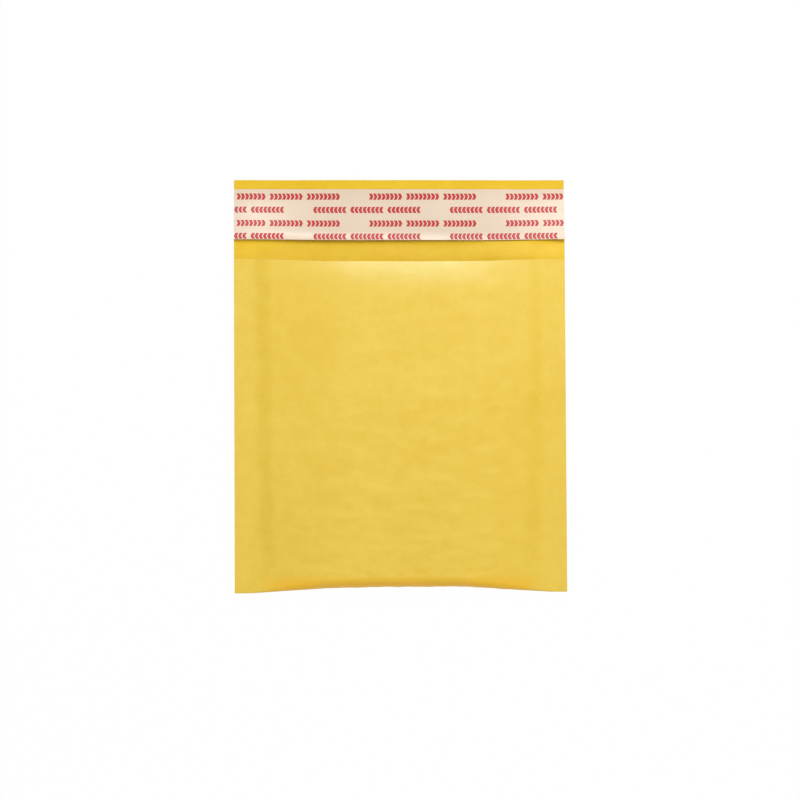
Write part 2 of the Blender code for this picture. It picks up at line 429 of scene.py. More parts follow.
def paper_relief(g, x, run, from_fold):
    """How far the paper over the padding is pushed out of its smooth path.

    Wide bands and narrow ripples run across the web, and the ripples are stronger near the bottom
    fold, where the paper is slack. Dents, a faint print of the bubbles and crinkles beside the
    fold are added to them.
    """
    place = g.vector(x, run, 0.0)
    bands = g.noise(g.vector(x * 0.35, run, 0.0), 42.0, 1.0, 0.4) - 0.5
    ripples = g.noise(g.vector(x * 0.4, run, 3.0), 130.0, 2.0, 0.55) - 0.5
    dents = g.noise(place, 80.0, 2.0, 0.5) - 0.5
    patches = g.smooth(g.noise(place, 45.0, 1.0) * 3.0 - 1.0)
    bubbles = bubble_print(g, x, run) * patches
    crush = 1.0 - g.smooth(from_fold / CRUSHED)
    crinkles = g.noise(g.vector(x, run * 0.45, 0.7), 160.0, 1.0) - 0.5
    slack = g.smooth(1.0 - from_fold / BODY_LENGTH) * 1.55 + 0.45
    soft = bands * BANDS + ripples * slack * RIPPLES + dents * DENTS
    return soft + bubbles * BUBBLE_PRINT + crinkles * crush * CRINKLES - SETTLED


def seam_wave(g, x, from_fold):
    """How far a side seam waves up or down, the same for both panels and the film between."""
    sway = g.noise(g.vector(x, from_fold, 2.0), 17.0, 1.0) - 0.5
    puckers = g.noise(g.vector(x * 0.35, from_fold, 5.0), 105.0, 1.0) - 0.5
    return sway * SEAM_SWAY + puckers * SEAM_PUCKERS


print(f"cells every {PITCH / MM:.1f} mm in rows {ROW_PITCH / MM:.1f} mm apart")

# %% The mouth and the flap
# Each hump beside the mouth has its place across the web, its reach and its share of the height.
BUCKLE_HUMPS = (
    (48.0 * MM, 30.0 * MM, 1.0),
    (0.0, 45.0 * MM, 0.35),
    (-66.0 * MM, 30.0 * MM, -0.55),
)
BUCKLE = 0.95 * MM
BUCKLE_PLACE = 1.0 * MM
BUCKLE_LENGTH = 9.0 * MM
RUMPLE = 3.0 * MM
# Right of the middle the step is softer, and the liner's dry edge lifts least.
EASY_PLACE = 54.0 * MM
EASY_REACH = 24.0 * MM
EASY_SHARE = 0.8


def mouth_drop(g, x, run):
    """How far the front panel sinks near the mouth: a short lip and a long, slight crown."""
    middle_most = g.most(1.0 - ((x - LIP_MIDDLE) / LIP_REACH) ** 2.0, 0.0)
    lip = g.unit(1.0 - run / g.given("Lip length")) ** 2.3 * middle_most * LIP_DROP
    crown = g.unit(1.0 - run / CROWN_LENGTH) ** 2.0 * CROWN_DROP
    return lip + crown


def flap_lift(g, x, run, up_flap, reach):
    """How far the flap stands off a flat sheet: rumples, buckles, the curled tip and the step."""
    lumps = g.noise(g.vector(x, run * 0.6, 9.0), 30.0, 1.0)
    rumple = g.most(lumps - 0.4, 0.0) * RUMPLE
    beside = g.smooth(1.0 - abs(up_flap - BUCKLE_PLACE) / BUCKLE_LENGTH)
    humps = sum(hump(g, x, place, width) * share for place, width, share in BUCKLE_HUMPS)
    buckle = humps * beside * BUCKLE
    tip = g.unit((up_flap - FLAP_LENGTH + TIP_LENGTH) / TIP_LENGTH) ** 2.0 * TIP_CURL
    onto_liner = g.smooth((up_flap - LINER_NEAR + STEP_WIDTH) / STEP_WIDTH)
    stiff = 1.0 - hump(g, x, EASY_PLACE, EASY_REACH) * EASY_SHARE
    step = onto_liner * stiff * STIFF_STEP
    return (rumple * reach + buckle) * g.given("Waves") + tip + step


print(f"mouth drops {(LIP_DROP + CROWN_DROP) / MM:.2f} mm, flap tip curls {TIP_CURL / MM:.1f} mm")

# %% The folding tree
# The waves are calmer over this length from the mouth, and end this far up the flap.
CALM_MOUTH = 22.0 * MM
CALM_SHARE = 0.45
WAVES_END = 6.0 * MM
BULGE_MOST = 1.0 * MM

FOLD_INPUTS = {
    "Shoulder": SHOULDER,
    "Lip length": LIP_LENGTH,
    "Waves": 1.0,
    "Outer side": None,
    "Inner side": None,
    "Cut edge": None,
}


def build_fold(name, is_lining):
    """A tree that folds a flat blank of paper, or of the lining, into the envelope's shape."""
    g = ShapeGraph(name, FOLD_INPUTS)
    x, y, height = g.positions()
    run = -y
    from_fold = abs(run - BODY_LENGTH)
    radius = between(SEAM_HALF, FULL_HALF, corner_rise(g, x))
    quarter_turn = radius * (math.pi / 2)
    half_turn = radius * math.pi
    panel = BODY_LENGTH - quarter_turn
    front_risen, back_risen = risen(g, x, from_fold - quarter_turn)
    rise = front_risen * FRONT_RISE
    drop = back_risen * BACK_DROP
    full = (rise + drop) / (FRONT_RISE + BACK_DROP)
    middle = (rise - drop) / 2.0 + SEAM_LIFT
    half = between(SEAM_HALF, FULL_HALF, full)

    angle = g.unit((run - panel) / half_turn) * math.pi
    front = g.least(run, panel)
    back = g.most(run - panel - half_turn, 0.0)
    up_flap = back - panel
    reach = g.smooth(up_flap / FLAP_LENGTH)

    # The front panel may bulge, and the back panel can't, because it lies on the table.
    waves = paper_relief(g, x, run, from_fold) * g.given("Waves") * full
    waves = waves * (1.0 - g.unit(up_flap / WAVES_END))
    waves = waves * between(CALM_SHARE, 1.0, g.smooth(run / CALM_MOUTH))
    waves = g.least(waves, (run < BODY_LENGTH) * BULGE_MOST)
    paper = half - full * mouth_drop(g, x, run) + waves
    if is_lining:
        film = between(SEAM_FILM / 2, FILM_HALF, full)
        room = paper - PAPER / 2 - TOUCH - film
        away = film + g.least(height, 0.0) + g.most(height, 0.0) * room / BUBBLE_HEIGHT
    else:
        away = paper + height

    drawn_in = full * (1.0 - front / panel) * MOUTH_BOW
    skew = x * g.unit(from_fold / BODY_LENGTH) * OFF_SQUARE
    new_y = MOUTH_Y - drawn_in - front - away * g.math("SINE", angle) + back - skew
    new_z = middle + away * g.math("COSINE", angle) + reach * (PAPER / 2 + half - middle)
    seams = seam_wave(g, x, from_fold) * g.given("Waves") * (1.0 - full) * (1.0 - reach)
    new_z = new_z + seams + flap_lift(g, x, run, up_flap, reach)

    folded = g.moved(g.given("Geometry"), g.vector(x, new_y, new_z))
    side = g.wire("GeometryNodeInputMaterialIndex")
    paints = [
        (side > 1.5, "Cut edge"),
        ((side > 0.5) * (side < 1.5), "Inner side"),
        (side < 0.5, "Outer side"),
    ]
    g.close(folded, paints)
    return g


def one_skin(skin):
    """The same material for every side of a sheet that the folding tree paints."""
    return {"Outer side": skin, "Inner side": skin, "Cut edge": skin}


fold_paper = build_fold("Fold paper", is_lining=False)
fold_lining = build_fold("Fold lining", is_lining=True)
print("folding trees:", len(fold_paper.tree.nodes), "and", len(fold_lining.tree.nodes), "nodes")

# %% [markdown]
# ## Flat blanks
#
# A blank is a grid that is closer where the sheet will bend hardest: beside the seam lines and
# round the bottom fold. Solidify gives it its thickness and numbers its outer side, inner side
# and cut edge as materials 0, 1 and 2, which the folding tree paints.

# %% Cutting a blank
def steps(start, end, spacing):
    """Evenly spaced positions from start up to, but not including, end."""
    count = max(1, round(abs(end - start) / spacing))
    return [start + (end - start) * k / count for k in range(count)]


def stations(*spans):
    """Positions along a line, from (start, end, spacing) spans that follow each other."""
    places = [place for span in spans for place in steps(*span)]
    return places + [spans[-1][1]]


def flat_blank(name, columns, runs, bottom, top):
    """A closed flat slab with its corners at the given columns and distances along the web."""
    bm = bmesh.new()
    made = bmesh.ops.create_grid(
        bm, x_segments=len(columns) - 1, y_segments=len(runs) - 1, size=0.5
    )
    for vert in made["verts"]:
        column = round((vert.co.x + 0.5) * (len(columns) - 1))
        row = round((0.5 - vert.co.y) * (len(runs) - 1))
        vert.co = (columns[column], -runs[row], top)
    mesh = mesh_of(bm, name)
    for _ in range(3):
        mesh.materials.append(None)
    blank = add_object(name, mesh)
    solidify = blank.modifiers.new("thickness", "SOLIDIFY")
    solidify.thickness = top - bottom
    solidify.offset = -1.0
    solidify.material_offset = 1
    solidify.material_offset_rim = 2
    return blank


# %% Finishing a piece
CRISP = math.radians(40.0)


def finish_piece(piece, replaced=None):
    """Smooth shading, crisp cut edges, the root body as parent, and the replaced node hidden."""
    piece.data.shade_smooth()
    piece.data.set_sharp_from_angle(angle=CRISP)
    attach(piece, "root")
    if replaced:
        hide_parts(replaced)
    corners = [piece.matrix_world @ Vector(c) for c in piece.bound_box]
    size = [(max(c[k] for c in corners) - min(c[k] for c in corners)) / MM for k in range(3)]
    faces = sum(len(p.vertices) - 2 for p in piece.data.polygons)
    print(f"{piece.name}: {size[0]:.1f} x {size[1]:.1f} x {size[2]:.1f} mm, {faces} triangles")


# %% [markdown]
# ## Paper
#
# Mailer kraft is dyed through and glazed on its outer side. Three things are seen up close: the
# cloudy formation, where more fibres lie in one place than in another, single fibres that catch
# the light, and a grain too fine to see except as a soft sheen. The inner side isn't glazed, so
# its yellow is deeper. Light is painted into the outer side's colour too: a painted shade makes
# it deeper in the bottom crease, and a painted highlight makes it paler on the rim of the mouth.
#
# Object coordinates are enough, because these patterns don't follow the fold.

# %% Trees that make a material
class SkinGraph(Graph):
    """A material with one Principled shader. Constant values are set on its own sockets."""

    def __init__(self, name, **constants):
        self.material = bpy.data.materials.new(name)
        self.material.use_nodes = True
        super().__init__(self.material.node_tree)
        self.shader = self.tree.nodes["Principled BSDF"]
        for label, value in constants.items():
            self.shader.inputs[label.replace("_", " ")].default_value = value
        self.place = self.wire("ShaderNodeTexCoord", output=3)

    def stretched(self, x, y, z):
        """Object coordinates, drawn out so that a pattern lengthens where the factor is small."""
        sockets = {0: self.place, 1: (x, y, z)}
        return self.wire("ShaderNodeVectorMath", {"operation": "MULTIPLY"}, sockets)

    def mix(self, factor, a, b):
        """Colour a where the factor is 0, and colour b where it is 1."""
        sockets = {0: factor, 6: a, 7: b}
        return self.wire("ShaderNodeMix", {"data_type": "RGBA"}, sockets, output=2)

    def set(self, label, value):
        self.tree.links.new(value.socket, self.shader.inputs[label])

    def bump(self, height, distance):
        """Fine relief: the height, times a distance in metres."""
        sockets = {"Strength": 1.0, "Distance": distance, "Height": height}
        self.set("Normal", self.wire("ShaderNodeBump", None, sockets))


def linear(red, green, blue):
    """A screen colour, 0 to 255, as the linear colour that a shader takes."""

    def channel(value):
        value /= 255.0
        return value / 12.92 if value <= 0.04045 else ((value + 0.055) / 1.055) ** 2.4

    return (channel(red), channel(green), channel(blue), 1.0)


# %% Kraft paper
# Painted shade: the bottom crease, where the fold turns away from the light, is coloured a deeper
# yellow.
SHADE_CREASE_END = 10.0 * MM
SHADE_CREASE_FADE = 6.0 * MM
SHADE_CREASE_SEAMS = 22.0 * MM
# Painted highlight: the rim of the mouth, where the lip catches the key lamp, is coloured a paler
# yellow.
HIGHLIGHT_RIM_PLACE = 4.0 * MM
HIGHLIGHT_RIM_LENGTH = 14.0 * MM
HIGHLIGHT_RIM_REACH = 62.0 * MM


def painted_shade_and_highlight(m, paper):
    """Deeper painted shade in the bottom crease, a paler painted highlight on the mouth's rim."""
    x, y, _ = m.parts(m.place)
    off_seams = m.smooth((SEAM_LINE - abs(x)) / SHADE_CREASE_SEAMS)
    crease_shade = m.smooth((SHADE_CREASE_END - (y - cover_low.y)) / SHADE_CREASE_FADE) * off_seams
    near_middle = m.smooth(1.0 - abs(x - LIP_MIDDLE) / HIGHLIGHT_RIM_REACH)
    rim_highlight = m.smooth(1.0 - abs(y - MOUTH_Y + HIGHLIGHT_RIM_PLACE) / HIGHLIGHT_RIM_LENGTH) * near_middle
    # Painted shade: a deeper yellow in the bottom crease.
    with_crease_shade = m.mix(crease_shade * 0.9, paper, linear(241, 187, 20))
    # Painted highlight: a paler yellow on the mouth's rim, strongest near the lip's middle.
    return m.mix(rim_highlight * 0.65, with_crease_shade, linear(226, 205, 90))


def kraft(name, thin, thick, fibre, roughness, gloss, grain, painted_light=False):
    """Dyed kraft paper: thin and thick formation, single fibres and a fine grain."""
    m = SkinGraph(name, Metallic=0.0, Specular_IOR_Level=gloss)
    cloud = m.noise(m.place, 150.0, 5.0, 0.62)
    drift = m.noise(m.place, 22.0, 2.0, 0.5)
    formation = m.unit((cloud - 0.5) * 2.1 + (drift - 0.5) * 1.1 + 0.5)
    threads = m.noise(m.stretched(1.0, 0.28, 1.0), 2600.0, 2.0, 0.6, 0.6)
    cross = m.noise(m.stretched(0.3, 1.0, 1.0), 2100.0, 2.0, 0.6, 0.6)
    fibres = m.smooth((m.most(threads, cross) - 0.60) * 6.0)
    fine = m.noise(m.place, 5200.0, 2.0, 0.6)
    paper = m.mix(formation, thin, thick)
    # Painted shade in the bottom crease and a painted highlight on the mouth's rim.
    if painted_light:
        paper = painted_shade_and_highlight(m, paper)
    m.set("Base Color", m.mix(fibres * 0.5, paper, fibre))
    m.set("Roughness", m.unit(roughness + (cloud - 0.5) * 0.18 + (fine - 0.5) * 0.12))
    m.bump(fine * 0.5 + fibres * 0.3 + cloud * 0.9, grain)
    return m.material


outer_kraft = kraft(
    "Outer kraft, glazed",
    thin=linear(238, 204, 74),
    thick=linear(232, 195, 57),
    fibre=linear(244, 218, 110),
    roughness=0.36,
    gloss=0.65,
    grain=0.05 * MM,
    # The outer side gets the painted shade and the painted highlight.
    painted_light=True,
)
inner_kraft = kraft(
    "Inner kraft, unglazed",
    thin=linear(238, 198, 36),
    thick=linear(232, 188, 20),
    fibre=linear(242, 208, 70),
    roughness=0.50,
    gloss=0.40,
    grain=0.07 * MM,
)
edge_kraft = kraft(
    "Cut edge of the kraft",
    thin=linear(232, 190, 84),
    thick=linear(220, 174, 62),
    fibre=linear(240, 208, 120),
    roughness=0.80,
    gloss=0.30,
    grain=0.09 * MM,
)
print("kraft materials:", outer_kraft.name, "|", inner_kraft.name, "|", edge_kraft.name)

# %% [markdown]
# ## The cover
#
# One sheet from the mouth of the front panel to the free edge of the flap, 361 mm long.

# %% Cut and fold the cover
# The blank's corners are wide apart where it stays nearly flat, and close where it bends.
BEND = 1.3 * MM
FINE = 0.7 * MM
FINEST = 0.35 * MM
NEAR_MOUTH = 8 * MM
NEAR_FOLD = 12 * MM
AT_FOLD = 2 * MM
FLAP_START = 2 * BODY_LENGTH
STEP_START = FLAP_START + LINER_NEAR - 4 * MM
STEP_END = STEP_START + 6 * MM

columns = stations(
    (-WIDTH / 2, -SEAM_LINE, BEND),
    (-SEAM_LINE, -SHOULDER_TOP, FINE),
    (-SHOULDER_TOP, SHOULDER_TOP, BEND),
    (SHOULDER_TOP, SEAM_LINE, FINE),
    (SEAM_LINE, WIDTH / 2, BEND),
)
runs = stations(
    (0.0, NEAR_MOUTH, FINE),
    (NEAR_MOUTH, BODY_LENGTH - NEAR_FOLD, BEND),
    (BODY_LENGTH - NEAR_FOLD, BODY_LENGTH - AT_FOLD, FINE),
    (BODY_LENGTH - AT_FOLD, BODY_LENGTH + AT_FOLD, FINEST),
    (BODY_LENGTH + AT_FOLD, BODY_LENGTH + NEAR_FOLD, FINE),
    (BODY_LENGTH + NEAR_FOLD, STEP_START, BEND),
    (STEP_START, STEP_END, FINE),
    (STEP_END, FLAP_START + FLAP_LENGTH, BEND),
)
cover_materials = {
    "Outer side": outer_kraft,
    "Inner side": inner_kraft,
    "Cut edge": edge_kraft,
}
cover_blank = flat_blank("cover blank", columns, runs, -PAPER / 2, PAPER / 2)
cover = fold_paper.shape(cover_blank, "paper_cover", cover_materials)
finish_piece(cover, "kraft_cover")

# %% [markdown]
# ## The bubble film
#
# The lining is two films. One is flat and faces the pocket. The other was drawn into round cells
# before the two were welded, so the air is trapped. The cells lie in staggered rows.
#
# A cell is half a ball with a flattened crown. Geometry Nodes make the rows: a grid of points,
# every second row moved by half a pitch, the points outside the padding deleted, one cell set on
# each. A union welds cells and film into one closed skin, so light has fewer surfaces to cross and
# the kraft behind stays yellow. The folding tree then bends film and cells together.

# %% Rows of air cells
CELL_MARGIN = 5.0 * MM


def build_cells():
    """A tree that welds staggered rows of air cells to a flat film."""
    g = ShapeGraph(
        "Air cells",
        {
            "Pitch": PITCH,
            "Cell width": CELL_WIDTH,
            "Cell height": BUBBLE_HEIGHT,
            "Rows": 12,
            "Columns": 12,
            "First row": FIRST_ROW,
            "Reach": SHOULDER_TOP - CELL_MARGIN,
            "Film": None,
        },
    )
    pitch = g.given("Pitch")
    row_pitch = pitch * (math.sqrt(3) / 2)
    first_row = g.given("First row")
    rows = g.given("Rows")
    in_row = g.given("Columns")
    grid_sockets = {
        "Size X": (in_row - 1.0) * pitch,
        "Size Y": (rows - 1.0) * row_pitch,
        "Vertices X": in_row,
        "Vertices Y": rows,
    }
    grid = g.wire("GeometryNodeMeshGrid", None, grid_sockets)
    x, y, _ = g.positions()
    depth = (rows - 1.0) * row_pitch * 0.5 - y
    row = g.math("ROUND", depth / row_pitch)
    shifted = x + g.math("MODULO", row, 2.0) * pitch * 0.5
    front = g.moved(grid, g.vector(shifted, -(depth + first_row), 0.0))
    back = g.moved(grid, g.vector(shifted, depth + first_row - FLAP_START, 0.0))
    points = g.wire("GeometryNodeJoinGeometry", None, {0: [front, back]})
    place_x, _, _ = g.positions()
    kept = g.without(points, abs(place_x) > g.given("Reach"))

    # The ball's lower half is pressed flat into the film, and its upper half is the cell.
    ball = g.wire("GeometryNodeMeshUVSphere", None, {"Segments": 16, "Rings": 8, "Radius": 1.0})
    bx, by, bz = g.positions()
    up = g.most(bz, 0.0)
    crown = (2.0 * up - up * up) * g.given("Cell height")
    sunk = (up < 0.01) * (-FILM / 2)
    radius = g.given("Cell width") / 2.0
    cell = g.moved(ball, g.vector(bx * radius, by * radius, crown + sunk))
    cells = g.wire("GeometryNodeInstanceOnPoints", None, {"Points": kept, "Instance": cell})
    solid_cells = g.wire("GeometryNodeRealizeInstances", None, {0: cells})
    union = {"operation": "UNION", "solver": "MANIFOLD"}
    welded = g.wire(
        "GeometryNodeMeshBoolean", union, {"Mesh 2": [g.given("Geometry"), solid_cells]}
    )
    g.close(welded, [(None, "Film")])
    return g


air_cells = build_cells()
print("air cells:", len(air_cells.tree.nodes), "nodes, inputs", ", ".join(air_cells.known))

# %% [markdown]
# ## Film
#
# The film is clear, so the kraft shows through it. What is seen of the cells is their weld: a
# cloudy ring round each one, and glints on the soft walls. Alpha lets a part of the light go
# through without tracing refraction. The rings follow the same rows as the cells, whose centres
# form two square-on lattices, one moved half a pitch and one row from the other.

# %% Film material
WELD = 0.55 * MM


def cell_rings(m):
    """1 on the weld round each cell and 0 elsewhere."""
    x, y, _ = m.parts(m.place)
    u = x / PITCH
    v = (MOUTH_Y - FIRST_ROW - y) / (2.0 * ROW_PITCH)
    nearest = None
    for shift in (0.0, 0.5):
        dx = (m.math("FRACT", u + shift + 0.5) - 0.5) * PITCH
        dy = (m.math("FRACT", v + shift + 0.5) - 0.5) * (2.0 * ROW_PITCH)
        away = (dx * dx + dy * dy) ** 0.5
        nearest = away if nearest is None else m.least(nearest, away)
    return 1.0 - m.smooth(abs(nearest - CELL_WIDTH / 2) / WELD)


def clear_film():
    """Clear film: hazy here and there, drawn lines, and cloudy where the cells are welded."""
    m = SkinGraph("Bubble film", Metallic=0.0, IOR=1.5, Specular_IOR_Level=0.8)
    haze = m.noise(m.place, 260.0, 3.0, 0.6)
    drawn = m.noise(m.stretched(1.0, 0.25, 1.0), 900.0, 2.0, 0.5)
    ring = cell_rings(m)
    m.set("Base Color", m.mix(haze, linear(236, 240, 240), linear(248, 250, 248)))
    m.set("Roughness", m.unit(0.16 + (haze - 0.5) * 0.2 + ring * 0.2))
    m.set("Alpha", m.unit(0.07 + (haze - 0.5) * 0.12 + ring * 0.36))
    m.bump(haze * 0.6 + drawn * 0.4 + ring * 1.5, 0.08 * MM)
    return m.material


film_skin = clear_film()
print("film material:", film_skin.name)

# %% Cut, weld and fold the film
FILM_SEAM = 5 * MM
FILM_LONG = 3 * MM
FILM_ACROSS = 2 * MM

film_runs = stations(
    (MOUTH_MARGIN, BODY_LENGTH - NEAR_FOLD, FILM_LONG),
    (BODY_LENGTH - NEAR_FOLD, BODY_LENGTH + NEAR_FOLD, FINE),
    (BODY_LENGTH + NEAR_FOLD, FLAP_START - MOUTH_MARGIN, FILM_LONG),
)
film_reach = lining_high.x
film_columns = stations(
    (-film_reach, -SEAM_LINE, FILM_SEAM),
    (-SEAM_LINE, SEAM_LINE, FILM_ACROSS),
    (SEAM_LINE, film_reach, FILM_SEAM),
)
panel_run = BODY_LENGTH - math.pi / 2 * FULL_HALF
cell_rows = int((panel_run - 2 * FIRST_ROW) / ROW_PITCH) + 1
cell_columns = 2 * int(SHOULDER_TOP / PITCH) + 1
flat_film = air_cells.shape(
    flat_blank("film blank", film_columns, film_runs, -FILM, 0.0),
    "flat film",
    {"Rows": cell_rows, "Columns": cell_columns, "Film": film_skin},
)
lining = fold_lining.shape(flat_film, "bubble_film", one_skin(film_skin))
finish_piece(lining, "bubble_lining")
print(f"{cell_rows} rows of cells on each panel")

# %% [markdown]
# ## Adhesive and release liner
#
# The adhesive is a coat of hot melt, tacky and a little glossy. The liner over it is paper
# glazed with silicone, cut from a 25 mm roll, and it runs from edge to edge of the flap. Along its
# lower edge there is no adhesive, so that edge stands off the paper and throws a thin shadow. Its
# right end lifts as well, where it was taken hold of.

# %% Adhesive and liner materials
def hot_melt():
    """Adhesive, with ribs from the nozzle that laid it."""
    m = SkinGraph("Hot melt adhesive", Metallic=0.0, Specular_IOR_Level=0.6)
    ribs = m.noise(m.stretched(0.15, 1.0, 1.0), 700.0, 2.0, 0.5)
    m.set("Base Color", m.mix(ribs, linear(236, 222, 176), linear(246, 236, 200)))
    m.set("Roughness", m.unit(0.22 + (ribs - 0.5) * 0.2))
    m.bump(ribs, 0.12 * MM)
    return m.material


def release_paper():
    """Cream paper under silicone, a little cloudy, with long soft waves."""
    m = SkinGraph("Release liner", Metallic=0.0, Specular_IOR_Level=0.5)
    cloud = m.noise(m.place, 210.0, 4.0, 0.6)
    fine = m.noise(m.place, 4200.0, 2.0, 0.6)
    long_wave = m.noise(m.stretched(0.4, 1.0, 1.0), 60.0, 1.0)
    m.set("Base Color", m.mix(cloud, linear(230, 210, 187), linear(225, 204, 181)))
    m.set("Roughness", m.unit(0.40 + (cloud - 0.5) * 0.2 + (fine - 0.5) * 0.1))
    m.bump(fine * 0.3 + cloud * 0.6 + long_wave * 2.0, 0.05 * MM)
    return m.material


def ink():
    """Red ink that took a little less well in some specks."""
    m = SkinGraph("Red ink", Metallic=0.0, Specular_IOR_Level=0.4)
    speckle = m.noise(m.place, 3800.0, 2.0, 0.6)
    m.set("Base Color", m.mix(speckle, linear(184, 34, 42), linear(202, 66, 68)))
    m.set("Roughness", m.unit(0.45 + (speckle - 0.5) * 0.3))
    m.bump(speckle, 0.02 * MM)
    return m.material


glue_skin = hot_melt()
liner_skin = release_paper()
ink_skin = ink()
print("strip materials:", glue_skin.name, "|", liner_skin.name, "|", ink_skin.name)

# %% A strip on the flap
# The liner's dry lower edge, whose lift varies along the flap, and its right end.
DRY_EDGE = 4.6 * MM
DRY_LIFT = 0.85 * MM
DRY_SWAY = 0.35 * MM
DRY_WAVE = 30.0 * MM
END_START = 64.0 * MM
END_LENGTH = 16.0 * MM
END_LIFT = 1.1 * MM
END_TAPER = 0.75


def lift_edges(mesh):
    """Raises the liner's right end and its dry lower edge. On the flat blank, up is towards -Z."""
    for vert in mesh.vertices:
        along = max(0.0, (vert.co.x - END_START) / END_LENGTH)
        up_liner = -vert.co.y - FLAP_START - LINER_NEAR
        across = up_liner / (LINER_FAR - LINER_NEAR)
        end = END_LIFT * along**2 * (1.0 - END_TAPER * across)
        dry = max(0.0, 1.0 - up_liner / DRY_EDGE)
        lift = DRY_LIFT - DRY_SWAY * math.cos((vert.co.x - EASY_PLACE) / DRY_WAVE)
        vert.co.z -= end + lift * dry**2


def flap_strip(name, reach, near, far, above, sheet, skin, replaced, spacing, lifted=False):
    """A strip on the flap's inner side, its underside at a height above the paper."""
    top = -PAPER / 2 - above
    edge = FLAP_START + near + DRY_EDGE
    blank = flat_blank(
        name + " blank",
        stations((-reach, reach, spacing)),
        stations((FLAP_START + near, edge, spacing / 3), (edge, FLAP_START + far, spacing)),
        top - sheet,
        top,
    )
    if lifted:
        lift_edges(blank.data)
    piece = fold_paper.shape(blank, name, one_skin(skin))
    finish_piece(piece, replaced)


# %% Lay the adhesive and the liner
GLUE_SHEET = 0.2 * MM
LINER_SHEET = 0.15 * MM
LINER_ABOVE = TOUCH + GLUE_SHEET + TOUCH

flap_strip(
    "glue_strip",
    reach=glue_high.x,
    near=glue_low.y - MOUTH_Y,
    far=glue_high.y - MOUTH_Y,
    above=TOUCH,
    sheet=GLUE_SHEET,
    skin=glue_skin,
    replaced="adhesive_strip",
    spacing=1.5 * MM,
)
flap_strip(
    "liner_strip",
    reach=liner_high.x,
    near=LINER_NEAR,
    far=LINER_FAR,
    above=LINER_ABOVE,
    sheet=LINER_SHEET,
    skin=liner_skin,
    replaced="release_liner",
    spacing=1.2 * MM,
    lifted=True,
)

# %% [markdown]
# ## The marks on the liner
#
# Four rows of red chevrons run along the liner and show how it comes off. It can be pulled from
# either end, so they point right in the first and third row and left in the others.
#
# A chevron is one flat mark, and everything else is repetition, which is Geometry Nodes' work:
# a line of points for each row, the points in the spaces between groups deleted, one mark on
# each point that is left.

# %% One chevron
MARK_HEIGHT = 3.0 * MM
MARK_WIDTH = 2.15 * MM
MARK_STROKE = 1.42 * MM
MARK_SIDES = 6
INK = 0.02 * MM
INK_GAP = 0.005 * MM


def flat_chevron():
    """A chevron that points to +X, lying flat with its printed face down in z."""
    half = MARK_HEIGHT / 2
    point = MARK_WIDTH - MARK_STROKE
    outline = [
        (0.0, half),
        (MARK_STROKE, half),
        (MARK_WIDTH, 0.0),
        (MARK_STROKE, -half),
        (0.0, -half),
        (point, 0.0),
    ]
    bm = bmesh.new()
    ring = [bm.verts.new((x - MARK_WIDTH / 2, y, 0.0)) for x, y in outline]
    face = bm.faces.new(ring)
    grown = bmesh.ops.extrude_face_region(bm, geom=[face])
    for vert in grown["geom"]:
        if isinstance(vert, bmesh.types.BMVert):
            vert.co.z -= INK
    bmesh.ops.recalc_face_normals(bm, faces=bm.faces)
    return add_object("chevron", mesh_of(bm, "chevron"))


print(f"a mark is {MARK_WIDTH / MM:.2f} by {MARK_HEIGHT / MM:.1f} mm")

# %% The tree for a row of chevrons
# Each row's middle is measured down from the liner's upper edge.
ROWS_DOWN = (3.55 * MM, 10.0 * MM, 16.6 * MM, 22.95 * MM)
ROW_SHIFT = (-14.5 * MM, -41.6 * MM, -14.5 * MM, -41.6 * MM)
GROUP_PERIOD = 66.2 * MM
GROUP_LENGTH = 52.2 * MM
MARK_PITCH = 2.0 * MM


def build_marks():
    """A tree that turns one chevron into a row of groups across the liner."""
    g = ShapeGraph(
        "Printed row",
        {
            "Pitch": MARK_PITCH,
            "Marks in a run": 8.0,
            "Group period": GROUP_PERIOD,
            "Group length": GROUP_LENGTH,
            "First group": 0.0,
            "Row": 0.0,
            "Turn": 0.0,
            "Reach": WIDTH / 2 - MARK_WIDTH / 2,
            "Level": 0.0,
            "Ink": None,
        },
    )
    pitch = g.given("Pitch")
    groups = math.ceil(WIDTH / GROUP_PERIOD) + 2
    in_group = g.math("FLOOR", g.given("Group length") / pitch)
    line_sockets = {"Count": in_group * groups, "Offset": (1.0, 0.0, 0.0)}
    line = g.wire("GeometryNodeMeshLine", {"mode": "OFFSET"}, line_sockets)

    # The line's points are 1 apart, so a point's x is its number. The space after each run of
    # marks is as wide as one mark.
    index, _, _ = g.positions()
    group = g.math("FLOOR", (index + 0.5) / in_group)
    within = index - group * in_group
    run_marks = g.given("Marks in a run")
    in_run = g.math("MODULO", within + 0.5, run_marks + 1.0)
    runs_only = g.without(line, in_run > run_marks)
    group_x = g.given("First group") + (group - 2.0) * g.given("Group period")
    x = group_x + (within + 0.5) * pitch
    placed = g.moved(runs_only, g.vector(x, g.given("Row"), g.given("Level")))
    place_x, _, _ = g.positions()
    kept = g.without(placed, abs(place_x) > g.given("Reach"))
    turned = g.vector(0.0, 0.0, g.given("Turn"))
    mark_sockets = {"Points": kept, "Instance": g.given("Geometry"), "Rotation": turned}
    marks = g.wire("GeometryNodeInstanceOnPoints", None, mark_sockets)
    g.close(marks, [(None, "Ink")])
    return g


printed_row = build_marks()
print("printed row:", len(printed_row.tree.nodes), "nodes, inputs", ", ".join(printed_row.known))

